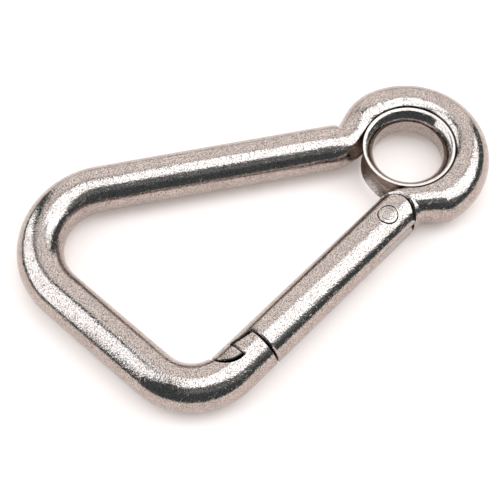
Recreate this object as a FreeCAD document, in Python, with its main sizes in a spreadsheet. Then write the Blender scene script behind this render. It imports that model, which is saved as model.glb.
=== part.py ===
"""Stainless snap hook with a forged eye, a thimble and a sprung gate, for 10 mm bar.

The hook lies flat in the XY plane. The origin is the centre of the eye, +Z runs along the eye's
bore, +X is parallel to the closed gate and points from the nose towards the eye, and +Y points
from the gate into the opening of the hook. Lengths are millimetres and angles are degrees.
"""
import FreeCAD, Part
import math
import os
import Sketcher

TOUCHING = 0.01                        # lengths closer than this count as equal
EDGE_SAMPLES = 9                       # points along an edge when edges are picked out

doc = FreeCAD.newDocument("snap_hook")
sheet = doc.addObject("Spreadsheet::Sheet", "dims")

DIMENSIONS = [
    # the bar and the shape it is bent to
    ("bar_radius", 5.0),           # the whole hook is bent from one round bar
    ("eye_radius", 12.74),         # centre line of the eye
    ("gate_offset", 7.95),         # gate axis below the eye's centre
    ("foot_bend_x", 61.8),         # centre of the bend beside the nose, left of the eye
    ("foot_bend", 11.6),           # centre-line radius of that bend
    ("crown_bend", 14.4),          # centre-line radius of the far bend
    ("base_angle", 92.84),         # direction of the base, from the nose bend to the far bend
    ("arm_slope", 34.72),          # slope of the arm, falling towards the eye
    ("arm_offset", 5.53),          # the arm's axis passes this far above the eye's centre
    ("arm_end", 21.0),             # the straight arm ends this far before that nearest point
    # neck and eye: sizes are parts of the bar's radius, angles are about the eye's centre
    ("neck_lead", 0.6),            # length at the arm's end that stays the bar's full round
    ("neck_taper", 17.5),
    ("neck_taper_size", 0.992),
    ("neck_turn", 14.2),
    ("neck_turn_size", 0.965),
    ("neck_waist_x", -6.5),
    ("neck_waist_y", 12.1),
    ("neck_waist_angle", 81.0),
    ("neck_waist_size", 0.84),
    ("neck_drop", 0.2),            # the drawn sections sit this far in, towards the eye
    ("neck_eye", 105.0),
    ("neck_eye_size", 0.83),
    ("neck_eye_taper", 94.0),
    ("neck_eye_taper_size", 0.875),
    ("neck_eye_swell", 85.0),
    ("neck_eye_swell_size", 0.955),
    ("neck_eye_lead", 79.0),
    ("neck_eye_lead_size", 0.986),
    ("eye_start", 72.0),
    ("eye_end", -107.0),
    ("lug_x", 9.5),                # the lug is a full round this far left of the eye's centre
    # hinge
    ("hinge_x", 15.88),            # rivet axis, left of the eye's centre
    ("rivet_radius", 2.0),
    ("rivet_clearance", 0.05),     # radial, in the tongue's hole only
    ("ring_radius", 1.3),          # the punch's ring on the rivet's ends
    ("ring_width", 0.34),
    ("ring_depth", 0.2),
    ("gate_end_radius", 5.5),      # the gate's hinge end, rounded about the rivet
    ("shoulder_radius", 5.85),     # the hollow shoulder on the hook that faces it
    ("tongue_half", 2.0),          # half the tongue's thickness
    ("slot_half", 2.25),           # half the width of the gate's slot
    ("slot_floor", 7.2),           # depth of the slot from the rivet axis
    ("tongue_side", 4.5),          # tongue edges, just under the bar's surface on both sides
    ("tongue_reach", 4.55),        # the tongue's straight edge facing the plunger
    ("tongue_root", 6.2),          # where the tongue is buried in the eye
    ("heel_reach", 6.85),          # end of the tongue's heel, which fills the slot's outer side
    ("heel_depth", 2.5),           # the heel starts this far outside the gate's axis
    ("cam_throw", 1.5),            # offset of the tongue's round cam from the rivet
    ("cam_angle", 67.5),           # direction of that offset
    ("cam_radius", 5.29),
    # nose: the gate's tooth and the hook's pocket, measured along the gate from the rivet
    ("hook_face", 38.2),           # end of the hook's bar
    ("gate_face", 37.8),           # end of the gate's full round
    ("lip_face", 42.8),            # back of the hook's lip
    ("lip_root_height", 2.0),      # top of the lip at the hook's end face, above the gate's axis
    ("lip_tip_height", 3.05),      # top of the lip at its back
    ("tooth_shoulder", 43.05),     # the tooth's flat, which bears on the lip
    ("neck_root_height", 2.6),     # underside of the gate's neck at the gate's face
    ("neck_tip_height", 3.7),      # underside of the neck at the tooth
    ("tooth_centre_x", 43.25),
    ("tooth_centre_y", 4.25),
    ("tooth_radius", 4.15),
    ("pocket_gap", 0.5),           # between the tooth and the hook's pocket
    ("trim_margin", 3.0),          # how far a cutting outline runs outside the bar
    # plunger and spring in the gate's bore
    ("bore_radius", 2.1),
    ("bore_depth", 30.0),          # bottom of the bore, from the rivet axis
    ("plunger_radius", 2.04),
    ("plunger_tip", 4.62),         # the plunger's tip, from the rivet axis
    ("plunger_length", 8.5),
    ("spigot_radius", 1.15),
    ("spigot_length", 2.6),
    ("spring_radius", 1.65),       # to the middle of the wire
    ("wire_radius", 0.28),
    ("spring_turns", 14.0),
    # thimble
    ("thimble_wall", 0.4),
    ("thimble_land", 7.7),         # radius of the clear hole
    ("lip_height", 4.25),          # the flared lips end this far from the middle plane
    ("seat_gap", 0.03),            # the eye is dressed this close to the bar's own round
    ("flare_gap", 0.05),           # between the bar's round and the thimble's flares
    # small edge breaks
    ("face_break", 0.3),
    ("edge_break", 0.25),
    ("hole_break", 0.3),
    ("rivet_break", 0.1),
    ("shoulder_break", 0.4),
    ("lip_edge_break", 0.12),
]

for row, (alias, number) in enumerate(DIMENSIONS, start=1):
    sheet.set("A%d" % row, alias)
    sheet.set("B%d" % row, str(number))
    sheet.setAlias("B%d" % row, alias)
doc.recompute()


def value(expression):
    """The number that an expression of the sheet's aliases comes to."""
    return float(sheet.evalExpression(expression))


def new_body(name, origin=("0", "0", "0")):
    """A body labelled with its part's name, placed at a point given by three expressions."""
    body = doc.addObject("PartDesign::Body", name)
    body.Label = name
    for axis, expression in zip("xyz", origin):
        body.setExpression(".Placement.Base.%s" % axis, expression)
    return body


def new_sketch(body, name, role, offset=None):
    """A sketch on one of the body's own origin planes, moved along its normal if asked."""
    sketch = body.newObject("Sketcher::SketchObject", name)
    plane = [item for item in body.Origin.OriginFeatures if item.Role == role][0]
    sketch.AttachmentSupport = [(plane, "")]
    sketch.MapMode = "FlatFace"
    if offset is not None:
        sketch.setExpression("AttachmentOffset.Base.z", offset)
        doc.recompute()
    return sketch


def bind(sketch, constraint, expression=None):
    """Add a constraint and drive its value from the sheet."""
    index = sketch.addConstraint(constraint)
    if expression is not None:
        sketch.setExpression("Constraints[%d]" % index, expression)


def fix_point(sketch, geometry, position, x, y):
    """Hold a point of a sketch at the place that two expressions give."""
    bind(sketch, Sketcher.Constraint("DistanceX", -1, 1, geometry, position, value(x)), x)
    bind(sketch, Sketcher.Constraint("DistanceY", -1, 1, geometry, position, value(y)), y)


def add_circle(sketch, x, y, radius):
    """A full circle from three expressions."""
    centre = FreeCAD.Vector(value(x), value(y), 0)
    circle = sketch.addGeometry(Part.Circle(centre, FreeCAD.Vector(0, 0, 1), value(radius)), False)
    fix_point(sketch, circle, 3, x, y)
    bind(sketch, Sketcher.Constraint("Radius", circle, value(radius)), radius)


def add_outline(sketch, corners):
    """A closed outline. Each corner is (x, y), or (x, y, centre_x, centre_y, turn) for an arc to it.

    turn is +1 for an arc that runs anticlockwise from the corner before, and -1 for clockwise.
    """
    places = [FreeCAD.Vector(value(corner[0]), value(corner[1]), 0) for corner in corners]
    edges = []
    for index, corner in enumerate(corners):
        start = places[index - 1]
        end = places[index]
        if len(corner) == 2:
            edges.append((sketch.addGeometry(Part.LineSegment(start, end), False), 1, 2))
            continue
        centre = FreeCAD.Vector(value(corner[2]), value(corner[3]), 0)
        start_angle = math.atan2(start.y - centre.y, start.x - centre.x)
        end_angle = math.atan2(end.y - centre.y, end.x - centre.x)
        circle = Part.Circle(centre, FreeCAD.Vector(0, 0, 1), (end - centre).Length)
        if corner[4] > 0:
            arc = Part.ArcOfCircle(circle, start_angle, end_angle)
            edges.append((sketch.addGeometry(arc, False), 1, 2))
        else:
            arc = Part.ArcOfCircle(circle, end_angle, start_angle)
            edges.append((sketch.addGeometry(arc, False), 2, 1))
        fix_point(sketch, edges[-1][0], 3, corner[2], corner[3])
    for index, (edge, first, last) in enumerate(edges):
        before, before_first, before_last = edges[index - 1]
        sketch.addConstraint(Sketcher.Constraint("Coincident", before, before_last, edge, first))
        corner = corners[index]
        if len(corner) == 2:
            fix_point(sketch, edge, last, corner[0], corner[1])
            continue
        # an arc's end lies on its circle already, so one more distance places it
        across = abs(places[index].x - value(corner[2])) > abs(places[index].y - value(corner[3]))
        kind, number = ("DistanceY", corner[1]) if across else ("DistanceX", corner[0])
        bind(sketch, Sketcher.Constraint(kind, -1, 1, edge, last, value(number)), number)


def feature(body, kind, name, sketch):
    """A PartDesign feature made from one sketch."""
    made = body.newObject(kind, name)
    made.Profile = sketch
    sketch.Visibility = False
    return made


def through_pocket(body, name, sketch):
    """Cut a sketch right through the body, on both sides of its plane."""
    pocket = feature(body, "PartDesign::Pocket", name, sketch)
    pocket.Type = "ThroughAll"
    pocket.Midplane = True
    return pocket


def break_edges(body, name, size, wanted):
    """Chamfer the edges of the body's last feature that a test on their points picks out."""
    base = body.Tip
    picked = []
    for index, edge in enumerate(base.Shape.Edges):
        points = edge.discretize(EDGE_SAMPLES)
        if edge.Length > 4 * value(size) and wanted(edge, points):
            picked.append("Edge%d" % (index + 1))
    if not picked:
        raise RuntimeError(name + " found no edges")
    chamfer = body.newObject("PartDesign::Chamfer", name)
    chamfer.Base = (base, picked)
    chamfer.setExpression("Size", size)
    base.Visibility = False
    return chamfer


def near(number, other):
    """Whether two lengths are the same to within a hundredth of a millimetre."""
    return abs(number - other) < TOUCHING


def take_steps(body, steps):
    """Make a body step by step, and stop if a step leaves anything but one sound solid."""
    for step in steps:
        step(body)
        doc.recompute()
        if not body.Shape.isValid() or len(body.Shape.Solids) != 1:
            raise RuntimeError("%s spoiled %s" % (step.__name__, body.Label))


# ---------------------------------------------------------------- hook_body
def upright_sketch(body, name, x, y, angle):
    """A sketch on a plane that stands on XY through a point; its x axis has the given direction."""
    sketch = new_sketch(body, name, "XZ_Plane")
    sketch.AttachmentOffset = FreeCAD.Placement(
        FreeCAD.Vector(value(x), 0, -value(y)),
        FreeCAD.Rotation(FreeCAD.Vector(0, 1, 0), value(angle)),
    )
    sketch.setExpression("AttachmentOffset.Base.x", x)
    sketch.setExpression("AttachmentOffset.Base.z", "-(%s)" % y)
    sketch.setExpression("AttachmentOffset.Rotation.Angle", angle)
    return sketch


def arm_section(body, name, distance, radius):
    """A round section of the arm, a distance back from the point nearest the eye's centre."""
    x = "dims.arm_offset * sin(dims.arm_slope) - %s * cos(dims.arm_slope)" % distance
    y = "dims.arm_offset * cos(dims.arm_slope) + %s * sin(dims.arm_slope)" % distance
    sketch = upright_sketch(body, name, x, y, "90 - dims.arm_slope")
    add_circle(sketch, "0", "0", radius)
    return sketch


def eye_section(body, name, angle, radius, drop="0"):
    """A round section of the eye at an angle about its centre, set in by a drop."""
    x = "dims.eye_radius * cos(%s)" % angle
    y = "dims.eye_radius * sin(%s)" % angle
    sketch = upright_sketch(body, name, x, y, angle)
    add_circle(sketch, "-" + drop, "0", radius)
    return sketch


def hook_centre_line(body):
    """The bar's centre line from the nose to the end of the straight arm."""
    sketch = new_sketch(body, "hook_centre_line", "XY_Plane")
    slope = math.radians(value("dims.arm_slope"))
    lean = math.radians(value("dims.base_angle"))
    foot = value("dims.foot_bend")
    crown = value("dims.crown_bend")
    offset = value("dims.gate_offset")

    # unit vectors along the arm and square to the two long runs
    along_arm = FreeCAD.Vector(math.cos(slope), -math.sin(slope), 0)
    above_arm = FreeCAD.Vector(math.sin(slope), math.cos(slope), 0)
    right_of_base = FreeCAD.Vector(math.sin(lean), -math.cos(lean), 0)
    foot_centre = FreeCAD.Vector(-value("dims.foot_bend_x"), foot - offset, 0)
    foot_end = foot_centre - right_of_base * foot
    # the crown's centre lies one bend radius right of the base and one below the arm
    base_height = right_of_base.dot(foot_end) + crown
    arm_height = value("dims.arm_offset") - crown
    determinant = right_of_base.x * above_arm.y - right_of_base.y * above_arm.x
    crown_centre = FreeCAD.Vector(
        (base_height * above_arm.y - arm_height * right_of_base.y) / determinant,
        (right_of_base.x * arm_height - above_arm.x * base_height) / determinant,
        0,
    )
    nose = FreeCAD.Vector(-value("dims.hinge_x + dims.hook_face"), -offset, 0)
    foot_start = FreeCAD.Vector(foot_centre.x, -offset, 0)
    crown_start = crown_centre - right_of_base * crown
    crown_end = crown_centre + above_arm * crown
    arm_end = above_arm * value("dims.arm_offset") - along_arm * value("dims.arm_end")

    def line(start, end):
        return sketch.addGeometry(Part.LineSegment(start, end), False), 1, 2

    def clockwise_arc(centre, start, end):
        circle = Part.Circle(centre, FreeCAD.Vector(0, 0, 1), (start - centre).Length)
        first = math.atan2(start.y - centre.y, start.x - centre.x)
        last = math.atan2(end.y - centre.y, end.x - centre.x)
        return sketch.addGeometry(Part.ArcOfCircle(circle, last, first), False), 2, 1

    nose_run = line(nose, foot_start)
    foot_arc = clockwise_arc(foot_centre, foot_start, foot_end)
    base_run = line(foot_end, crown_start)
    crown_arc = clockwise_arc(crown_centre, crown_start, crown_end)
    arm_run = line(crown_end, arm_end)

    runs = [nose_run, foot_arc, base_run, crown_arc, arm_run]
    for before, after in zip(runs, runs[1:]):
        bind(sketch, Sketcher.Constraint("Tangent", before[0], before[2], after[0], after[1]))
    for run, radius in ((foot_arc, "dims.foot_bend"), (crown_arc, "dims.crown_bend")):
        bind(sketch, Sketcher.Constraint("Radius", run[0], value(radius)), radius)
    fix_point(sketch, nose_run[0], 1, "-(dims.hinge_x + dims.hook_face)", "-dims.gate_offset")
    bind(sketch, Sketcher.Constraint("Horizontal", nose_run[0]))
    bind(sketch, Sketcher.Constraint("Angle", base_run[0], lean), "dims.base_angle")
    bind(sketch, Sketcher.Constraint("Angle", arm_run[0], -slope), "-dims.arm_slope")
    bind(sketch, Sketcher.Constraint("DistanceX", -1, 1, foot_arc[0], 3, foot_centre.x),
         "-dims.foot_bend_x")
    bind(sketch, Sketcher.Constraint("Distance", -1, 1, arm_run[0], value("dims.arm_offset")),
         "dims.arm_offset")
    bind(sketch, Sketcher.Constraint("DistanceX", -1, 1, arm_run[0], 2, arm_end.x),
         "dims.arm_offset * sin(dims.arm_slope) - dims.arm_end * cos(dims.arm_slope)")
    return sketch


def add_bent_bar(body):
    """The bar as it is bent: nose, foot bend, base, crown bend and arm."""
    path = hook_centre_line(body)
    section = new_sketch(body, "bar_section", "YZ_Plane", "-(dims.hinge_x + dims.hook_face)")
    add_circle(section, "-dims.gate_offset", "0", "dims.bar_radius")
    bar = feature(body, "PartDesign::AdditivePipe", "bent_bar", section)
    bar.Spine = (path, ["Edge%d" % (index + 1) for index in range(path.GeometryCount)])


def add_eye(body):
    """The round of the eye, from the neck to the hinge."""
    path = new_sketch(body, "eye_centre_line", "XY_Plane")
    circle = Part.Circle(FreeCAD.Vector(), FreeCAD.Vector(0, 0, 1), value("dims.eye_radius"))
    first = math.radians(value("dims.eye_end"))
    last = math.radians(value("dims.eye_start"))
    arc = path.addGeometry(Part.ArcOfCircle(circle, first, last), False)
    bind(path, Sketcher.Constraint("Coincident", arc, 3, -1, 1))
    for position, angle in ((1, "dims.eye_end"), (2, "dims.eye_start")):
        x = "dims.eye_radius * cos(%s)" % angle
        bind(path, Sketcher.Constraint("DistanceX", -1, 1, arc, position, value(x)), x)
    bind(path, Sketcher.Constraint("Radius", arc, value("dims.eye_radius")), "dims.eye_radius")
    section = eye_section(body, "eye_section", "dims.eye_start", "dims.bar_radius")
    eye = feature(body, "PartDesign::AdditivePipe", "eye", section)
    eye.Spine = (path, ["Edge1"])


def add_neck(body):
    """The forged neck, drawn in a little where the arm turns up into the eye."""
    drawn = "dims.bar_radius * "
    sections = [
        arm_section(body, "neck_arm_end", "dims.arm_end", "dims.bar_radius"),
        arm_section(body, "neck_arm_lead", "(dims.arm_end - dims.neck_lead)", "dims.bar_radius"),
        arm_section(body, "neck_arm_taper", "dims.neck_taper", drawn + "dims.neck_taper_size"),
        arm_section(body, "neck_turn", "dims.neck_turn", drawn + "dims.neck_turn_size"),
    ]
    waist = upright_sketch(body, "neck_waist", "dims.neck_waist_x", "dims.neck_waist_y",
                           "dims.neck_waist_angle")
    add_circle(waist, "-dims.neck_drop", "0", drawn + "dims.neck_waist_size")
    sections.append(waist)
    sections += [
        eye_section(body, "neck_eye", "dims.neck_eye", drawn + "dims.neck_eye_size",
                    "dims.neck_drop"),
    ]
    for name in ("neck_eye_taper", "neck_eye_swell", "neck_eye_lead"):
        sections.append(eye_section(body, name, "dims." + name, drawn + "dims.%s_size" % name))
    sections.append(eye_section(body, "neck_eye_end", "dims.eye_start", "dims.bar_radius"))
    neck = feature(body, "PartDesign::AdditiveLoft", "forged_neck", sections[0])
    neck.Sections = sections[1:]


def add_hinge_lug(body):
    """The eye's end, drawn straight to a full round on the gate's axis behind the hinge."""
    start = eye_section(body, "lug_eye_end", "dims.eye_end", "dims.bar_radius")
    end = new_sketch(body, "lug_round", "YZ_Plane", "-dims.lug_x")
    add_circle(end, "-dims.gate_offset", "0", "dims.bar_radius")
    lug = feature(body, "PartDesign::AdditiveLoft", "hinge_lug", start)
    lug.Sections = [end]
    doc.recompute()
    section = new_sketch(body, "stub_section", "YZ_Plane", "-dims.hinge_x")
    add_circle(section, "-dims.gate_offset", "0", "dims.bar_radius")
    stub = feature(body, "PartDesign::Pad", "hinge_stub", section)
    stub.setExpression("Length", "dims.hinge_x - dims.lug_x")


def cut_eye_seat(body):
    """Clear the eye for the thimble: a straight land, and the bar's own round above and below."""
    sketch = new_sketch(body, "eye_seat_section", "XZ_Plane")
    land = "(dims.thimble_land + dims.thimble_wall)"
    top = "(dims.bar_radius + dims.seat_gap)"
    rise = "sqrt(%s ^ 2 - (dims.eye_radius - %s) ^ 2)" % (top, land)
    add_outline(sketch, [
        ("0", "-" + top),
        ("dims.eye_radius", "-" + top),
        (land, "-" + rise, "dims.eye_radius", "0", -1),
        (land, rise),
        ("dims.eye_radius", top, "dims.eye_radius", "0", -1),
        ("0", top),
    ])
    seat = feature(body, "PartDesign::Groove", "eye_seat", sketch)
    seat.ReferenceAxis = (sketch, ["V_Axis"])
    seat.Angle = 360.0


def cut_shoulder(body):
    """The hollow shoulder, a turned-out round about the rivet, with its edge broken."""
    sketch = new_sketch(body, "shoulder_outline", "XY_Plane")
    add_circle(sketch, "-dims.hinge_x", "-dims.gate_offset", "dims.shoulder_radius")
    through_pocket(body, "hinge_shoulder", sketch)
    doc.recompute()
    axis_x = -value("dims.hinge_x")
    axis_y = -value("dims.gate_offset")
    radius = value("dims.shoulder_radius")

    def on_shoulder_rim(edge, points):
        return all(near(math.hypot(point.x - axis_x, point.y - axis_y), radius)
                   for point in points)

    break_edges(body, "shoulder_edge_break", "dims.shoulder_break", on_shoulder_rim)


def add_tongue(body):
    """The flat tongue in the gate's slot, with its heel and its off-centre cam."""
    sketch = new_sketch(body, "tongue_outline", "XY_Plane")
    cam_x = "-dims.hinge_x + dims.cam_throw * cos(dims.cam_angle)"
    cam_y = "-dims.gate_offset + dims.cam_throw * sin(dims.cam_angle)"
    rise = "(dims.tongue_side - dims.cam_throw * sin(dims.cam_angle))"
    back = "sqrt(dims.cam_radius ^ 2 - %s ^ 2)" % rise
    reach = "(dims.tongue_reach + dims.cam_throw * cos(dims.cam_angle))"
    drop = "sqrt(dims.cam_radius ^ 2 - %s ^ 2)" % reach
    add_outline(sketch, [
        ("-dims.hinge_x + dims.tongue_root", "-dims.gate_offset + dims.tongue_side"),
        ("%s - %s" % (cam_x, back), "-dims.gate_offset + dims.tongue_side"),
        ("-dims.hinge_x - dims.tongue_reach", "%s - %s" % (cam_y, drop), cam_x, cam_y, 1),
        ("-dims.hinge_x - dims.tongue_reach", "-dims.gate_offset - dims.heel_depth"),
        ("-dims.hinge_x - dims.heel_reach", "-dims.gate_offset - dims.heel_depth"),
        ("-dims.hinge_x - dims.heel_reach", "-dims.gate_offset - dims.tongue_side"),
        ("-dims.hinge_x + dims.tongue_root", "-dims.gate_offset - dims.tongue_side"),
    ])
    tongue = feature(body, "PartDesign::Pad", "hinge_tongue", sketch)
    tongue.setExpression("Length", "2 * dims.tongue_half")
    tongue.Midplane = True


def drill_tongue(body):
    """The rivet's running hole."""
    sketch = new_sketch(body, "tongue_hole", "XY_Plane")
    add_circle(sketch, "-dims.hinge_x", "-dims.gate_offset",
               "dims.rivet_radius + dims.rivet_clearance")
    through_pocket(body, "rivet_hole", sketch)


def cut_nose(body):
    """The pocket for the gate's tooth and the slope on top of the lip in front of it."""
    sketch = new_sketch(body, "nose_outline", "XY_Plane")
    centre_x = "-dims.hinge_x - dims.tooth_centre_x"
    centre_y = "-dims.gate_offset + dims.tooth_centre_y"
    radius = "dims.tooth_radius + dims.pocket_gap"
    above = "-dims.gate_offset + dims.bar_radius + dims.trim_margin"
    lip_x = "-dims.hinge_x - dims.lip_face"
    reach = "sqrt((%s) ^ 2 - (dims.lip_face - dims.tooth_centre_x) ^ 2)" % radius
    add_outline(sketch, [
        ("-dims.hinge_x - dims.hook_face", "-dims.gate_offset + dims.lip_root_height"),
        ("-dims.hinge_x - dims.hook_face", above),
        ("%s - (%s)" % (centre_x, radius), above),
        ("%s - (%s)" % (centre_x, radius), centre_y),
        (lip_x, "%s - %s" % (centre_y, reach), centre_x, centre_y, 1),
        (lip_x, "-dims.gate_offset + dims.lip_tip_height"),
    ])
    through_pocket(body, "nose_pocket", sketch)


def break_hook_edges(body):
    """Take the sharpness off the nose's end face and off the rim of the tooth's pocket."""
    face_x = -value("dims.hinge_x + dims.hook_face")
    lip_x = -value("dims.hinge_x + dims.lip_face")
    tip_x = -value("dims.hinge_x + dims.tooth_centre_x + dims.tooth_radius + dims.pocket_gap")
    axis_y = -value("dims.gate_offset")

    def on_face_rim(edge, points):
        return edge.Curve.TypeId == "Part::GeomCircle" and all(
            near(point.x, face_x) for point in points)

    def on_pocket_rim(edge, points):
        middle = points[len(points) // 2]
        walls = all(tip_x - 0.01 < point.x < face_x - 0.1 for point in points[1:-1])
        across = near(points[0].x, points[-1].x) and not near(middle.x, lip_x)
        return walls and not across and abs(middle.z) > value("dims.bar_radius") / 2 and (
            middle.y > axis_y - 1.0 and edge.Curve.TypeId != "Part::GeomLine")

    break_edges(body, "nose_face_break", "dims.face_break", on_face_rim)
    doc.recompute()
    break_edges(body, "pocket_break", "dims.edge_break", on_pocket_rim)


def build_hook_body():
    """The forged bar: nose, two bends, arm, eye, and the tongue that the gate swings on."""
    body = new_body("hook_body")
    add_bent_bar(body)
    # the arm and the eye stay two solids until the neck joins them
    add_eye(body)
    take_steps(body, (add_neck, add_hinge_lug, cut_shoulder, cut_eye_seat, add_tongue,
                      drill_tongue, cut_nose, break_hook_edges))


# ---------------------------------------------------------------- gate
def add_round_bar(body):
    """The gate's round bar, from its hinge end to the tip of its tooth."""
    section = new_sketch(body, "gate_section", "YZ_Plane", "dims.gate_end_radius")
    add_circle(section, "0", "0", "dims.bar_radius")
    bar = feature(body, "PartDesign::Pad", "gate_bar", section)
    bar.setExpression("Length", "dims.gate_end_radius + dims.tooth_centre_x + dims.tooth_radius")
    bar.Reversed = True


def round_hinge_end(body):
    """Take away what lies outside a round about the rivet."""
    sketch = new_sketch(body, "hinge_end_outline", "XY_Plane")
    radius = "dims.gate_end_radius"
    far = "(dims.gate_end_radius + dims.trim_margin)"
    add_outline(sketch, [
        ("0", radius, "0", "0", 1),
        ("0", far),
        (far, far),
        (far, "-" + far),
        ("0", "-" + far),
        ("0", "-" + radius),
    ])
    through_pocket(body, "hinge_end", sketch)


def shape_tooth(body):
    """Cut the gate's nose to a thin neck that ends in a half-round tooth."""
    sketch = new_sketch(body, "tooth_outline", "XY_Plane")
    far = "(dims.bar_radius + dims.trim_margin)"
    tip = "-(dims.tooth_centre_x + dims.tooth_radius)"
    reach = "sqrt(dims.tooth_radius ^ 2 - (dims.tooth_centre_x - dims.tooth_shoulder) ^ 2)"
    add_outline(sketch, [
        ("-dims.gate_face", "-" + far),
        ("-dims.gate_face", "dims.neck_root_height"),
        ("-dims.tooth_shoulder", "dims.neck_tip_height"),
        ("-dims.tooth_shoulder", "dims.tooth_centre_y - " + reach),
        (tip, "dims.tooth_centre_y", "-dims.tooth_centre_x", "dims.tooth_centre_y", -1),
        (tip, far),
        (tip + " - dims.trim_margin", far),
        (tip + " - dims.trim_margin", "-" + far),
    ])
    through_pocket(body, "gate_nose", sketch)


def saw_slot(body):
    """The slot that straddles the tongue, open at the end and on both sides."""
    sketch = new_sketch(body, "slot_outline", "XZ_Plane")
    far = "dims.gate_end_radius + dims.trim_margin"
    add_outline(sketch, [
        (far, "-dims.slot_half"),
        (far, "dims.slot_half"),
        ("-dims.slot_floor", "dims.slot_half"),
        ("-dims.slot_floor", "-dims.slot_half"),
    ])
    through_pocket(body, "tongue_slot", sketch)


def drill_bore(body):
    """The blind bore for the spring and the plunger, drilled from the slot."""
    sketch = new_sketch(body, "bore_section", "YZ_Plane")
    add_circle(sketch, "0", "0", "dims.bore_radius")
    bore = feature(body, "PartDesign::Pocket", "spring_bore", sketch)
    bore.setExpression("Length", "dims.bore_depth")


def drill_cheeks(body):
    """The rivet's tight holes."""
    sketch = new_sketch(body, "cheek_holes", "XY_Plane")
    add_circle(sketch, "0", "0", "dims.rivet_radius")
    through_pocket(body, "rivet_holes", sketch)


def break_gate_edges(body):
    """Take the sharpness off the gate's end faces, its tooth and the rims of the rivet holes."""
    face_x = -value("dims.gate_face")
    bar = value("dims.bar_radius")
    hole = value("dims.rivet_radius")

    def on_round(points):
        return all(near(math.hypot(point.y, point.z), bar) for point in points)

    def on_face_rim(edge, points):
        return on_round(points) and all(near(point.x, face_x) for point in points)

    def on_tooth_rim(edge, points):
        middle = points[len(points) // 2]
        beyond = all(point.x < face_x + 0.01 for point in points) and not near(middle.x, face_x)
        return on_round(points) and beyond and abs(middle.z) > bar / 2

    def on_hinge_rim(edge, points):
        return on_round(points) and all(point.x > hole for point in points)

    def on_hole_rim(edge, points):
        return on_round(points) and all(
            near(math.hypot(point.x, point.y), hole) for point in points)

    break_edges(body, "gate_face_break", "dims.face_break", on_face_rim)
    for name, size, wanted in (("tooth_break", "dims.edge_break", on_tooth_rim),
                               ("hinge_end_break", "dims.edge_break", on_hinge_rim),
                               ("rivet_hole_break", "dims.hole_break", on_hole_rim)):
        doc.recompute()
        break_edges(body, name, size, wanted)


HINGE = ("-dims.hinge_x", "-dims.gate_offset", "0")


def build_gate():
    """The round gate, modelled about the rivet's axis with its nose along -X."""
    body = new_body("gate", HINGE)
    take_steps(body, (add_round_bar, round_hinge_end, shape_tooth, saw_slot, drill_bore,
                      drill_cheeks, break_gate_edges))


def build_hinge_rivet():
    """A plain rivet, dressed flush with the round of the gate at both ends."""
    body = new_body("hinge_rivet", HINGE)
    section = new_sketch(body, "rivet_section", "XY_Plane")
    add_circle(section, "0", "0", "dims.rivet_radius")
    shank = feature(body, "PartDesign::Pad", "rivet_shank", section)
    shank.setExpression("Length", "2 * (dims.bar_radius + dims.trim_margin)")
    shank.Midplane = True
    doc.recompute()
    flush = new_sketch(body, "flush_outline", "YZ_Plane")
    add_circle(flush, "0", "0", "dims.bar_radius")
    far = "(dims.bar_radius + 2 * dims.trim_margin)"
    add_outline(flush, [(far, "-" + far), (far, far), ("-" + far, far), ("-" + far, "-" + far)])
    through_pocket(body, "flush_ends", flush)
    doc.recompute()
    radius = value("dims.rivet_radius")

    def on_end_rim(edge, points):
        return edge.Length > 2 * radius and all(abs(point.z) > 2 * radius for point in points)

    break_edges(body, "rivet_end_break", "dims.rivet_break", on_end_rim)
    doc.recompute()
    ring = new_sketch(body, "ring_section", "XZ_Plane")
    floor = "(dims.bar_radius - dims.ring_depth)"
    rim = "(dims.bar_radius + dims.trim_margin)"
    inner = "(dims.ring_radius - dims.ring_width / 2)"
    outer = "(dims.ring_radius + dims.ring_width / 2)"
    for side in ("", "-"):
        add_outline(ring, [(inner, side + floor), (outer, side + floor), (outer, side + rim),
                           (inner, side + rim)])
    groove = feature(body, "PartDesign::Groove", "punched_rings", ring)
    groove.ReferenceAxis = (ring, ["V_Axis"])
    groove.Angle = 360.0


def build_eye_thimble():
    """A thin tube through the eye, its ends flared out over the bar."""
    body = new_body("eye_thimble")
    sketch = new_sketch(body, "thimble_section", "XZ_Plane")
    outer = "(dims.thimble_land + dims.thimble_wall)"
    outer_arc = "(dims.bar_radius + dims.flare_gap)"
    inner_arc = "(dims.bar_radius + dims.flare_gap + dims.thimble_wall)"
    outer_rise = "sqrt(%s ^ 2 - (dims.eye_radius - %s) ^ 2)" % (outer_arc, outer)
    inner_rise = "sqrt(%s ^ 2 - (dims.eye_radius - dims.thimble_land) ^ 2)" % inner_arc
    outer_lip = "dims.eye_radius - sqrt(%s ^ 2 - dims.lip_height ^ 2)" % outer_arc
    inner_lip = "dims.eye_radius - sqrt(%s ^ 2 - dims.lip_height ^ 2)" % inner_arc
    add_outline(sketch, [
        ("dims.thimble_land", "-" + inner_rise, "dims.eye_radius", "0", -1),
        ("dims.thimble_land", inner_rise),
        (inner_lip, "dims.lip_height", "dims.eye_radius", "0", -1),
        (outer_lip, "dims.lip_height"),
        (outer, outer_rise, "dims.eye_radius", "0", 1),
        (outer, "-" + outer_rise),
        (outer_lip, "-dims.lip_height", "dims.eye_radius", "0", 1),
        (inner_lip, "-dims.lip_height"),
    ])
    turned = feature(body, "PartDesign::Revolution", "spun_tube", sketch)
    turned.ReferenceAxis = (sketch, ["V_Axis"])
    turned.Angle = 360.0
    doc.recompute()
    lip_height = value("dims.lip_height")

    def on_lip(edge, points):
        return all(near(abs(point.z), lip_height) for point in points)

    break_edges(body, "lip_break", "dims.lip_edge_break", on_lip)


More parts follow.
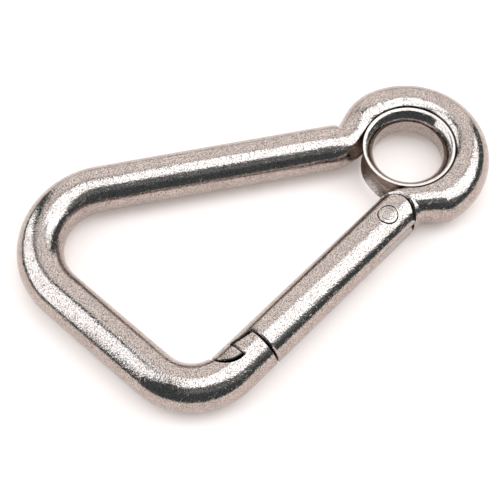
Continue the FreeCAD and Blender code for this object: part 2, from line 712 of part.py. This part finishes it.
def build_spring_plunger():
    """A plunger with a domed tip on the tongue's cam and a spigot inside the spring."""
    body = new_body("spring_plunger", HINGE)
    sketch = new_sketch(body, "plunger_section", "XZ_Plane")
    shoulder = "-(dims.plunger_tip + dims.plunger_length)"
    add_outline(sketch, [
        ("-dims.plunger_tip", "0", "-(dims.plunger_tip + dims.plunger_radius)", "0", -1),
        (shoulder + " - dims.spigot_length", "0"),
        (shoulder + " - dims.spigot_length", "dims.spigot_radius"),
        (shoulder, "dims.spigot_radius"),
        (shoulder, "dims.plunger_radius"),
        ("-(dims.plunger_tip + dims.plunger_radius)", "dims.plunger_radius"),
    ])
    turned = feature(body, "PartDesign::Revolution", "turned_plunger", sketch)
    turned.ReferenceAxis = (sketch, ["H_Axis"])
    turned.Angle = 360.0


def build_gate_spring():
    """A coil spring between the plunger's shoulder and the bottom of the bore."""
    body = new_body("gate_spring", HINGE)
    start = "-(dims.plunger_tip + dims.plunger_length + dims.wire_radius)"
    length = "(dims.bore_depth - dims.plunger_tip - dims.plunger_length - 2 * dims.wire_radius)"
    section = new_sketch(body, "wire_section", "XZ_Plane")
    add_circle(section, start, "dims.spring_radius", "dims.wire_radius")
    coil = body.newObject("PartDesign::AdditiveHelix", "coil")
    coil.Profile = section
    coil.ReferenceAxis = (section, ["H_Axis"])
    coil.Mode = "height-turns-angle"
    coil.setExpression("Height", length)
    coil.setExpression("Turns", "dims.spring_turns")
    coil.Reversed = True
    section.Visibility = False


for build in (build_hook_body, build_gate, build_hinge_rivet, build_eye_thimble,
              build_spring_plunger, build_gate_spring):
    build()
doc.recompute()

for item in doc.Objects:
    if "Invalid" in item.State or "Error" in item.State:
        raise RuntimeError("%s is %s" % (item.Name, item.State))
bodies = doc.findObjects("PartDesign::Body")
for body in bodies:
    if body.Shape.isNull() or not body.Shape.isValid():
        raise RuntimeError("%s has no sound shape" % body.Label)

os.makedirs("parts", exist_ok=True)
for body in bodies:
    body.Shape.exportStep("parts/%s.step" % body.Label)
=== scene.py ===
"""The looks of the stainless snap hook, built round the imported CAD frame.

In order: the camera, the light, the gate's coil spring, the steel's node materials, and the
floor. Lengths are in metres unless a name or a comment says mm, and angles are in degrees.
"""
import math

import bpy
from mathutils import Matrix, Vector


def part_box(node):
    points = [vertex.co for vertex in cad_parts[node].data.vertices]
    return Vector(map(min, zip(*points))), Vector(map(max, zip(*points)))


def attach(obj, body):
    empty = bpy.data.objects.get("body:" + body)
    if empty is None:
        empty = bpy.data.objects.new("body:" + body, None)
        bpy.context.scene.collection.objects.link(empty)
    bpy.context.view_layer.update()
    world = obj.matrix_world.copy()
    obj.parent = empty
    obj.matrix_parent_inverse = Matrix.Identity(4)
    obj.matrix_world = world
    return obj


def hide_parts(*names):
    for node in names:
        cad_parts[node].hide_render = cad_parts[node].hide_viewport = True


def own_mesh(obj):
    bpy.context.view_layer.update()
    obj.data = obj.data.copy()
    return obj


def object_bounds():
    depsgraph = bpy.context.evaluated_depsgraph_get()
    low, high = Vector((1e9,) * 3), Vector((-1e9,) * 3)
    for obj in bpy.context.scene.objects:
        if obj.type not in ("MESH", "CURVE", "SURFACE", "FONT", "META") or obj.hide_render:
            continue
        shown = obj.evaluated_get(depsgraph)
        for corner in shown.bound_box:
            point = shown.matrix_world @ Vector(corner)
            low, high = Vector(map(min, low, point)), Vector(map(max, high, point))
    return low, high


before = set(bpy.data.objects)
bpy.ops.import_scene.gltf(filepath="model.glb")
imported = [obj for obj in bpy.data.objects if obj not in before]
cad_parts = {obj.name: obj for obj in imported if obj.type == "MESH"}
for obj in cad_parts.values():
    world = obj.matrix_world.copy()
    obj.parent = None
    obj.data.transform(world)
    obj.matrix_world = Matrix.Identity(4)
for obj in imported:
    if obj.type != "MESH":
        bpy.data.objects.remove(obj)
CAD_BOX = [list(corner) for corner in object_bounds()]

MM = 0.001

# ---------------------------------------------------------------- camera
CAMERA_TARGET = Vector((-40.1, 8.8, 0.0)) * MM
CAMERA_DISTANCE = 243.1 * MM
CAMERA_AZIMUTH = -132.3          # of the camera as seen from the target, from +X towards +Y
CAMERA_ELEVATION = 63.4
CAMERA_ROLL = -3.5
CAMERA_LENS = 83.0


def direction(azimuth, elevation):
    """The unit vector at an azimuth from +X towards +Y and an elevation, in degrees."""
    turn, rise = math.radians(azimuth), math.radians(elevation)
    return Vector((math.cos(turn) * math.cos(rise), math.sin(turn) * math.cos(rise),
                   math.sin(rise)))


def add_camera():
    """The camera at the photograph's angle."""
    data = bpy.data.cameras.new("camera")
    data.lens = CAMERA_LENS
    data.clip_start = 0.01
    data.clip_end = 20.0
    camera = bpy.data.objects.new("camera", data)
    bpy.context.scene.collection.objects.link(camera)
    away = direction(CAMERA_AZIMUTH, CAMERA_ELEVATION)
    turn = (-away).to_track_quat("-Z", "Y").to_matrix()
    turn = turn @ Matrix.Rotation(math.radians(CAMERA_ROLL), 3, "Z")
    camera.matrix_world = Matrix.Translation(CAMERA_TARGET + away * CAMERA_DISTANCE) @ turn.to_4x4()
    bpy.context.scene.camera = camera


add_camera()


# ---------------------------------------------------------------- light
# The colours of what the steel mirrors. Panels stand 1 m from the eye's centre.
STUDIO_DARK = (0.10, 0.125, 0.135)      # the unlit room, which the hook's near flanks mirror
STUDIO_BACKDROP = (1.0, 0.98, 0.96)     # what stands behind the floor where a low camera sees it
PANEL_TONE = (0.92, 1.0, 1.07)
WALL_TONE = (1.0, 0.98, 0.98)
UP = Vector((0.0, 0.0, 1.0))


def add_panel(name, centre, sides, size, radiance, tone=PANEL_TONE):
    """A plain soft panel, equally bright all over, that shines against the cross of its sides.

    sides are two unit vectors, and size is how long the panel is along each of them.
    """
    data = bpy.data.lights.new(name, "AREA")
    data.shape = "RECTANGLE"
    data.size, data.size_y = size
    data.energy = radiance * math.pi * size[0] * size[1]
    data.color = tone
    light = bpy.data.objects.new(name, data)
    light.visible_camera = False
    bpy.context.scene.collection.objects.link(light)
    turn = Matrix((sides[0], sides[1], sides[0].cross(sides[1]))).transposed()
    light.matrix_world = Matrix.Translation(centre) @ turn.to_4x4()


def add_wall_panel(name, azimuth, low, high, spread, radiance, tone=PANEL_TONE):
    """An upright panel 1 m away, from one elevation to another and as wide as an angle."""
    away = direction(azimuth, 0.0)
    beside = direction(azimuth + 90.0, 0.0)
    bottom = math.tan(math.radians(low))
    top = math.tan(math.radians(high))
    width = 2.0 * math.tan(math.radians(spread) / 2.0)
    centre = away + UP * (bottom + top) / 2.0
    add_panel(name, centre, (beside, UP), (width, top - bottom), radiance, tone)


def add_overhead_panel(name, azimuth, near, far, left, right, radiance):
    """A level panel 1 m up, from near to far along an azimuth and from left to right of it."""
    along = direction(azimuth, 0.0)
    beside = direction(azimuth + 90.0, 0.0)
    centre = along * (near + far) / 2.0 + beside * (left + right) / 2.0 + UP
    add_panel(name, centre, (along, beside), (far - near, right - left), radiance)


add_overhead_panel("panel_overhead", azimuth=-51.0, near=-0.21, far=1.95, left=-0.355, right=0.40,
                   radiance=2.9)
# the dim light that spills past one side of the overhead panel
add_overhead_panel("panel_fringe", azimuth=-51.0, near=-0.21, far=1.95, left=-1.1, right=-0.36,
                   radiance=0.17)
add_wall_panel("panel_front", azimuth=-21.0, low=29.0, high=58.0, spread=40.0, radiance=2.6)
add_wall_panel("panel_side", azimuth=127.5, low=12.0, high=75.0, spread=67.0, radiance=2.4)
add_wall_panel("panel_back", azimuth=42.0, low=3.5, high=64.5, spread=78.0, radiance=1.3,
               tone=WALL_TONE)


def add_room():
    """A dark studio round the panels, with a pale backdrop where the camera sees past the floor."""
    world = bpy.data.worlds.new("studio")
    bpy.context.scene.world = world
    world.use_nodes = True
    tree = world.node_tree
    tree.nodes.clear()
    output = tree.nodes.new("ShaderNodeOutputWorld")
    room = tree.nodes.new("ShaderNodeBackground")
    room.inputs["Color"].default_value = (*STUDIO_DARK, 1.0)
    backdrop = tree.nodes.new("ShaderNodeBackground")
    backdrop.inputs["Color"].default_value = (*STUDIO_BACKDROP, 1.0)
    ray = tree.nodes.new("ShaderNodeLightPath")
    mix = tree.nodes.new("ShaderNodeMixShader")
    tree.links.new(ray.outputs["Is Camera Ray"], mix.inputs[0])
    tree.links.new(room.outputs[0], mix.inputs[1])
    tree.links.new(backdrop.outputs[0], mix.inputs[2])
    tree.links.new(mix.outputs[0], output.inputs["Surface"])


add_room()
bpy.context.scene.view_settings.view_transform = "Standard"


# ---------------------------------------------------------------- the gate's spring
WIRE_RADIUS = 0.28 * MM
SPRING_TURNS = 14
CLOSED_TURNS = 1.5                      # turns at each end that lie against each other
CLOSED_PITCH = 2.02 * WIRE_RADIUS
SIDES_OF_WIRE = 12
STEPS_IN_TURN = 32


def spring_advance(turn, length):
    """How far along its axis the spring has gone after a number of turns; its ends are closed."""
    open_turns = SPRING_TURNS - 2.0 * CLOSED_TURNS
    open_pitch = (length - 2.0 * CLOSED_TURNS * CLOSED_PITCH) / open_turns
    at_start = min(turn, CLOSED_TURNS)
    in_middle = min(max(turn - CLOSED_TURNS, 0.0), open_turns)
    at_end = max(turn - CLOSED_TURNS - open_turns, 0.0)
    return (at_start + at_end) * CLOSED_PITCH + in_middle * open_pitch


def build_spring():
    """The coil spring in the gate's bore, as a wire wound round the bore's axis."""
    low, high = (Vector(corner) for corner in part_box("gate_spring"))
    axis = (low + high) / 2.0
    radius = (high.y - low.y) / 2.0 - WIRE_RADIUS
    length = high.x - low.x - 2.0 * WIRE_RADIUS
    steps = SPRING_TURNS * STEPS_IN_TURN
    points, faces = [], []
    for step in range(steps + 1):
        turn = step / STEPS_IN_TURN
        angle = 2.0 * math.pi * turn
        out = Vector((0.0, math.cos(angle), math.sin(angle)))
        centre = Vector((low.x + WIRE_RADIUS + spring_advance(turn, length), axis.y, axis.z))
        for side in range(SIDES_OF_WIRE):
            around = 2.0 * math.pi * side / SIDES_OF_WIRE
            offset = out * math.cos(around) + Vector((math.sin(around), 0.0, 0.0))
            points.append(centre + out * radius + offset * WIRE_RADIUS)
    for step in range(steps):
        for side in range(SIDES_OF_WIRE):
            here = step * SIDES_OF_WIRE + side
            beside = step * SIDES_OF_WIRE + (side + 1) % SIDES_OF_WIRE
            faces.append((here, beside, beside + SIDES_OF_WIRE, here + SIDES_OF_WIRE))
    faces.append(tuple(range(SIDES_OF_WIRE - 1, -1, -1)))
    faces.append(tuple(range(steps * SIDES_OF_WIRE, (steps + 1) * SIDES_OF_WIRE)))
    mesh = bpy.data.meshes.new("coil_spring")
    mesh.from_pydata(points, [], faces)
    mesh.shade_smooth()
    spring = bpy.data.objects.new("coil_spring", mesh)
    bpy.context.scene.collection.objects.link(spring)
    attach(spring, "gate")
    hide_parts("gate_spring")
    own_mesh(spring)
    return spring


# ---------------------------------------------------------------- materials
STEEL = (0.56, 0.475, 0.43)
TARNISH = 0.88                          # how bright tarnished steel is beside clean steel
DARK_GRAIN = 0.30                       # how bright the dark grains are beside clean steel
WORN_AND_HIGHLIT_EDGE_TONE = (0.78, 0.72, 0.68)        # edges that rubbing has polished, also painted lighter as a painted highlight
UNBUFFED_AND_REFLECTION_TONE = (0.40, 0.32, 0.28)         # the back of the thimble, which is not buffed, painted darker and browner as a painted reflection
DARK_SCALE = 0.45                       # how bright the dark patches there are beside the rest
PIT_DIRT = (0.09, 0.07, 0.06)
PIT_DIRT_SHARE = 0.7                    # how much of the steel's colour the dirt hides in a pit
# dirt and painted shade in gaps and corners
CREVICE_DIRT_AND_SHADE = (0.025, 0.02, 0.018)

# how many times each feature repeats in a millimetre
WAVES = 0.11
CLOUDS = 0.25
PITS = 2.6
GRAINS = 2.8
SCALE_PATCHES = 3.2
STIPPLE = 4.6

# widths, reaches and depths in mm
EDGE_WEAR_AND_HIGHLIGHT_REACH = 0.22                        # how far from an edge it is rubbed bright and painted lighter as a highlight
LIP_WEAR_AND_HIGHLIGHT_WIDTH = 0.5                        # the part of the thimble's lip that is rubbed bright and painted lighter as a highlight
LIP_LINE = 0.44                         # the painted shade in the corner beside the lip
LIP_LINE_HEIGHT = 3.0                   # where on the eye that corner starts, above the middle
CREVICE_REACH = 0.85                    # how far from a corner dirt and painted shade reach
PIT_DEPTH = 0.03

LARGEST_PIT = 0.5                       # radius of the largest pit, in cells
PIT_SLOPE = 0.3                         # width of a pit's sloping side, in cells
NICK_CUT = 0.80                         # nicks lie where their noise is above this
NICK_TURNS = ((10.0, 20.0, 25.0), (25.0, -15.0, -50.0))
NICK_DULLNESS = 0.12                    # roughness that a nick adds
UNPOLISHED_DULLNESS = 0.24              # roughness that a missing polish adds

# the thimble's lips: their outer radius, and their height above the middle
LIP_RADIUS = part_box("eye_thimble")[1][0]
LIP_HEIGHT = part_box("eye_thimble")[1][2]


def node(tree, kind, **settings):
    """A shader node with its properties set; keys that start with in_ set its inputs."""
    made = tree.nodes.new(kind)
    for key, setting in settings.items():
        if key.startswith("in_"):
            made.inputs[key[3:].replace("_", " ")].default_value = setting
        else:
            setattr(made, key, setting)
    return made


def per_mm(number):
    """A texture's scale for a feature that repeats this many times in a millimetre."""
    return number / MM


def new_material(name):
    """An empty node material: its tree, its shader and its object coordinates."""
    material = bpy.data.materials.new(name)
    material.use_nodes = True
    tree = material.node_tree
    tree.nodes.clear()
    output = node(tree, "ShaderNodeOutputMaterial")
    shader = node(tree, "ShaderNodeBsdfPrincipled")
    tree.links.new(shader.outputs[0], output.inputs["Surface"])
    place = node(tree, "ShaderNodeTexCoord").outputs["Object"]
    return material, tree, shader, place


def noise(tree, place, scale, detail, roughness=0.6):
    """A noise texture's factor."""
    texture = node(tree, "ShaderNodeTexNoise", in_Scale=scale, in_Detail=detail,
                   in_Roughness=roughness)
    tree.links.new(place, texture.inputs["Vector"])
    return texture.outputs["Fac"]


def remap(tree, source, low, high, to_low=0.0, to_high=1.0, smooth=False):
    """A value carried from one range to another and held inside it."""
    made = node(tree, "ShaderNodeMapRange", in_From_Min=low, in_From_Max=high,
                in_To_Min=to_low, in_To_Max=to_high)
    if smooth:
        made.interpolation_type = "SMOOTHSTEP"
    tree.links.new(source, made.inputs["Value"])
    return made.outputs["Result"]


def arithmetic(tree, operation, first, second):
    """A math node on two values, either of which may be a plain number."""
    made = node(tree, "ShaderNodeMath", operation=operation)
    for socket, term in zip(made.inputs, (first, second)):
        if isinstance(term, float):
            socket.default_value = term
        else:
            tree.links.new(term, socket)
    return made.outputs[0]


def blend_colours(tree, amount, first, second):
    """A mix of two colours, each a triple or another node's output."""
    made = node(tree, "ShaderNodeMix", data_type="RGBA")
    tree.links.new(amount, made.inputs["Factor"])
    for socket, tone in zip((made.inputs[6], made.inputs[7]), (first, second)):
        if isinstance(tone, tuple):
            socket.default_value = (*tone, 1.0)
        else:
            tree.links.new(tone, socket)
    return made.outputs[2]


def vector_arithmetic(tree, operation, first, second=None):
    """The outputs of a vector math node on vectors that are triples or other nodes' outputs."""
    made = node(tree, "ShaderNodeVectorMath", operation=operation)
    for socket, term in zip(made.inputs, (first, second)):
        if isinstance(term, tuple):
            socket.default_value = term
        elif term is not None:
            tree.links.new(term, socket)
    return made.outputs


def dimmed(colour, share):
    """A colour made darker in all its parts alike."""
    return tuple(share * part for part in colour)


def bump(tree, height, distance, under=None):
    """A bump of a real depth in metres, on top of another bump if one is given."""
    made = node(tree, "ShaderNodeBump", in_Strength=1.0, in_Distance=distance)
    tree.links.new(height, made.inputs["Height"])
    if under is not None:
        tree.links.new(under, made.inputs["Normal"])
    return made.outputs["Normal"]


def pits(tree, place, likely):
    """Small round pits scattered at random: 1 in a deep pit and 0 outside.

    likely is the share of the cells that have a pit in them.
    """
    cells = node(tree, "ShaderNodeTexVoronoi", in_Scale=per_mm(PITS))
    tree.links.new(place, cells.inputs["Vector"])
    chance = node(tree, "ShaderNodeSeparateColor")
    tree.links.new(cells.outputs["Color"], chance.inputs[0])
    radius = remap(tree, chance.outputs[0], 1.0 - likely, 1.0, 0.0, LARGEST_PIT)
    depth = arithmetic(tree, "SUBTRACT", radius, cells.outputs["Distance"])
    return remap(tree, depth, 0.0, PIT_SLOPE, smooth=True)


def stipple(tree, place):
    """The fine light and dark grain that tumbling leaves, from 0 to 1."""
    speckle = noise(tree, place, per_mm(STIPPLE), detail=1.0, roughness=0.5)
    dark, light = 0.34, 0.57
    return remap(tree, speckle, dark, light)


def nicks(tree, place, turn):
    """Short straight nicks, all one way: 1 on a nick and 0 elsewhere."""
    long_and_narrow = (per_mm(0.4), per_mm(2.6), per_mm(0.4))
    turned = node(tree, "ShaderNodeMapping", in_Rotation=[math.radians(angle) for angle in turn],
                  in_Scale=long_and_narrow)
    tree.links.new(place, turned.inputs["Vector"])
    lines = noise(tree, turned.outputs["Vector"], 1.0, detail=0.0)
    return remap(tree, lines, NICK_CUT, NICK_CUT + 0.03)


def crevice_dirt_and_shade(tree):
    """1 in the corners and gaps that get dirt and painted shade, 0 on open faces."""
    open_sky = node(tree, "ShaderNodeAmbientOcclusion", samples=8,
                    in_Distance=CREVICE_REACH * MM)
    deep, shallow = 0.32, 0.66          # shares of the surroundings that are open
    return remap(tree, open_sky.outputs["AO"], deep, shallow, 1.0, 0.0)


def worn_and_highlit_edges(tree):
    """1 along the edges that rubbing keeps bright and that carry a painted highlight, 0 on open
    faces.
    """
    rounded = node(tree, "ShaderNodeBevel", samples=6, in_Radius=EDGE_WEAR_AND_HIGHLIGHT_REACH * MM)
    true_normal = node(tree, "ShaderNodeNewGeometry").outputs["Normal"]
    facing = vector_arithmetic(tree, "DOT_PRODUCT", rounded.outputs[0], true_normal)
    sharp, flat = 0.86, 0.98            # how well the rounded and the true normal agree
    return remap(tree, facing["Value"], sharp, flat, 1.0, 0.0)


def away_from_axis(tree, place):
    """The vector from the eye's axis to a point, with no height."""
    return vector_arithmetic(tree, "MULTIPLY", place, (1.0, 1.0, 0.0))["Vector"]


def axis_distance(tree, place):
    """The distance of a point from the eye's axis."""
    return vector_arithmetic(tree, "LENGTH", away_from_axis(tree, place))["Value"]


def height_from_middle(tree, place):
    """How far above or below the hook's middle plane a point is."""
    axes = node(tree, "ShaderNodeSeparateXYZ")
    tree.links.new(place, axes.inputs[0])
    return arithmetic(tree, "ABSOLUTE", axes.outputs[2], 0.0)


def lip_shade_line(tree, place):
    """1 on the painted shade in the corner that the thimble's lip makes with the eye, 0 away from
    it.
    """
    edge = LIP_RADIUS + LIP_LINE * MM
    soft = 0.08 * MM
    near_lip = remap(tree, axis_distance(tree, place), edge - soft, edge + soft, 1.0, 0.0)
    high = remap(tree, height_from_middle(tree, place), LIP_LINE_HEIGHT * MM,
                 (LIP_LINE_HEIGHT + 0.4) * MM)
    return arithmetic(tree, "MULTIPLY", near_lip, high)


def lip_wear_and_highlight(tree, place):
    """1 on the outer round of the thimble's lips, which rubbing keeps bright and which carries a
    painted highlight, 0 elsewhere.
    """
    high = remap(tree, height_from_middle(tree, place), LIP_HEIGHT - 0.16 * MM,
                 LIP_HEIGHT - 0.08 * MM)
    outer = remap(tree, axis_distance(tree, place), LIP_RADIUS - LIP_WEAR_AND_HIGHLIGHT_WIDTH * MM,
                  LIP_RADIUS - (LIP_WEAR_AND_HIGHLIGHT_WIDTH - 0.1) * MM)
    return arithmetic(tree, "MULTIPLY", high, outer)


def outer_wall(tree, place):
    """1 where a wall of the eye's thimble faces away from the hole, 0 where it faces the hole."""
    outward = vector_arithmetic(tree, "NORMALIZE", away_from_axis(tree, place))["Vector"]
    surface_normal = node(tree, "ShaderNodeTexCoord").outputs["Normal"]
    facing = vector_arithmetic(tree, "DOT_PRODUCT", outward, surface_normal)
    sideways, outwards = 0.1, 0.35      # cosines of the angle to the outward direction
    return remap(tree, facing["Value"], sideways, outwards)


def tumbled_steel(part, roughness, grain_depth, pit_share, wave_depth):
    """Tumbled stainless steel: waves from forging, fine grain, small pits and a few nicks."""
    material, tree, shader, place = new_material("finish_" + part)
    shader.inputs["Metallic"].default_value = 1.0
    grain = noise(tree, place, per_mm(GRAINS), detail=1.0)
    cloud = noise(tree, place, per_mm(CLOUDS), detail=3.0, roughness=0.55)
    waves = noise(tree, place, per_mm(WAVES), detail=1.5, roughness=0.45)
    pit = pits(tree, place, pit_share)
    nick = arithmetic(tree, "MAXIMUM", *(nicks(tree, place, turn) for turn in NICK_TURNS))

    tarnish = remap(tree, cloud, 0.35, 0.7)
    tone = blend_colours(tree, tarnish, STEEL, dimmed(STEEL, TARNISH))
    tone = blend_colours(tree, stipple(tree, place), dimmed(STEEL, DARK_GRAIN), tone)
    dirt = arithmetic(tree, "MULTIPLY", pit, PIT_DIRT_SHARE)
    tone = blend_colours(tree, dirt, tone, PIT_DIRT)
    # edges: rubbed bright, and painted lighter as a painted highlight
    tone = blend_colours(tree, worn_and_highlit_edges(tree), tone, WORN_AND_HIGHLIT_EDGE_TONE)
    # dirt and painted shade where less of the surroundings is open
    tone = blend_colours(tree, crevice_dirt_and_shade(tree), tone, CREVICE_DIRT_AND_SHADE)
    dull = remap(tree, cloud, 0.3, 0.7, roughness - 0.03, roughness + 0.05)
    dull = arithmetic(tree, "ADD", dull, arithmetic(tree, "MULTIPLY", nick, NICK_DULLNESS))
    if part == "hook_body":
        # a painted shade line round the corner beside the thimble's lip
        tone = blend_colours(tree, lip_shade_line(tree, place), tone, CREVICE_DIRT_AND_SHADE)
    if part == "eye_thimble":
        # walls facing away from the hole: rougher where not buffed, and painted darker and browner
        # as a painted reflection
        unbuffed_reflecting_wall = outer_wall(tree, place)
        patches = remap(tree, noise(tree, place, per_mm(SCALE_PATCHES), detail=1.0), 0.40, 0.60)
        unbuffed_and_reflection_colour = blend_colours(tree, patches, dimmed(UNBUFFED_AND_REFLECTION_TONE, DARK_SCALE), UNBUFFED_AND_REFLECTION_TONE)
        tone = blend_colours(tree, unbuffed_reflecting_wall, tone, unbuffed_and_reflection_colour)
        # the lip's outer round: rubbed bright, and painted lighter as a painted highlight
        tone = blend_colours(tree, lip_wear_and_highlight(tree, place), tone, WORN_AND_HIGHLIT_EDGE_TONE)
        unbuffed = arithmetic(tree, "MULTIPLY", unbuffed_reflecting_wall, UNPOLISHED_DULLNESS)
        dull = arithmetic(tree, "ADD", dull, unbuffed)
    tree.links.new(tone, shader.inputs["Base Color"])
    tree.links.new(dull, shader.inputs["Roughness"])

    normal = bump(tree, waves, wave_depth * MM)
    normal = bump(tree, grain, grain_depth * MM, normal)
    sunk = arithmetic(tree, "ADD", arithmetic(tree, "MULTIPLY", pit, -1.0),
                      arithmetic(tree, "MULTIPLY", nick, -1.0))
    normal = bump(tree, sunk, PIT_DEPTH * MM, normal)
    tree.links.new(normal, shader.inputs["Normal"])
    return material


# roughness, depths in mm, and the share of the pits' cells that have one
FINISHES = {
    "hook_body": {"roughness": 0.09, "grain_depth": 0.030, "pit_share": 0.50, "wave_depth": 0.08},
    "gate": {"roughness": 0.09, "grain_depth": 0.030, "pit_share": 0.50, "wave_depth": 0.06},
    "hinge_rivet": {"roughness": 0.24, "grain_depth": 0.060, "pit_share": 0.60, "wave_depth": 0.05},
    "eye_thimble": {"roughness": 0.11, "grain_depth": 0.016, "pit_share": 0.30, "wave_depth": 0.05},
    "spring_plunger": {"roughness": 0.25, "grain_depth": 0.01, "pit_share": 0.2, "wave_depth": 0.02},
    "coil_spring": {"roughness": 0.25, "grain_depth": 0.01, "pit_share": 0.2, "wave_depth": 0.02},
}
for part, finish in FINISHES.items():
    material = tumbled_steel(part, **finish)
    if part == "coil_spring":
        build_spring().data.materials.append(material)
    else:
        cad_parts[part].material_slots[0].material = material


# ---------------------------------------------------------------- floor
FLOOR_HALF = 1.4                        # half its side
FLOOR_TONES = ((0.78, 0.695, 0.65), (0.82, 0.73, 0.685))
FLOOR_FIBRE = 0.4                       # how many times its fibre repeats in a millimetre
FLOOR_GLOW = (0.90, 0.80, 0.75)         # the floor's own light, which keeps shadows faint
FLOOR_GLOW_STRENGTH = 0.30


def add_floor():
    """A plain pale floor under the hook, faintly lit from within like a light table."""
    height = CAD_BOX[0][2]
    corners = [(x * FLOOR_HALF, y * FLOOR_HALF, height)
               for x, y in ((-1, -1), (1, -1), (1, 1), (-1, 1))]
    mesh = bpy.data.meshes.new("floor")
    mesh.from_pydata(corners, [], [(0, 1, 2, 3)])
    floor = bpy.data.objects.new("floor", mesh)
    bpy.context.scene.collection.objects.link(floor)
    material, tree, shader, place = new_material("floor_paper")
    fibre = noise(tree, place, per_mm(FLOOR_FIBRE), detail=3.0)
    tree.links.new(blend_colours(tree, fibre, *FLOOR_TONES), shader.inputs["Base Color"])
    shader.inputs["Roughness"].default_value = 0.9
    shader.inputs["Specular IOR Level"].default_value = 0.1
    shader.inputs["Emission Color"].default_value = (*FLOOR_GLOW, 1.0)
    shader.inputs["Emission Strength"].default_value = FLOOR_GLOW_STRENGTH
    mesh.materials.append(material)


add_floor()
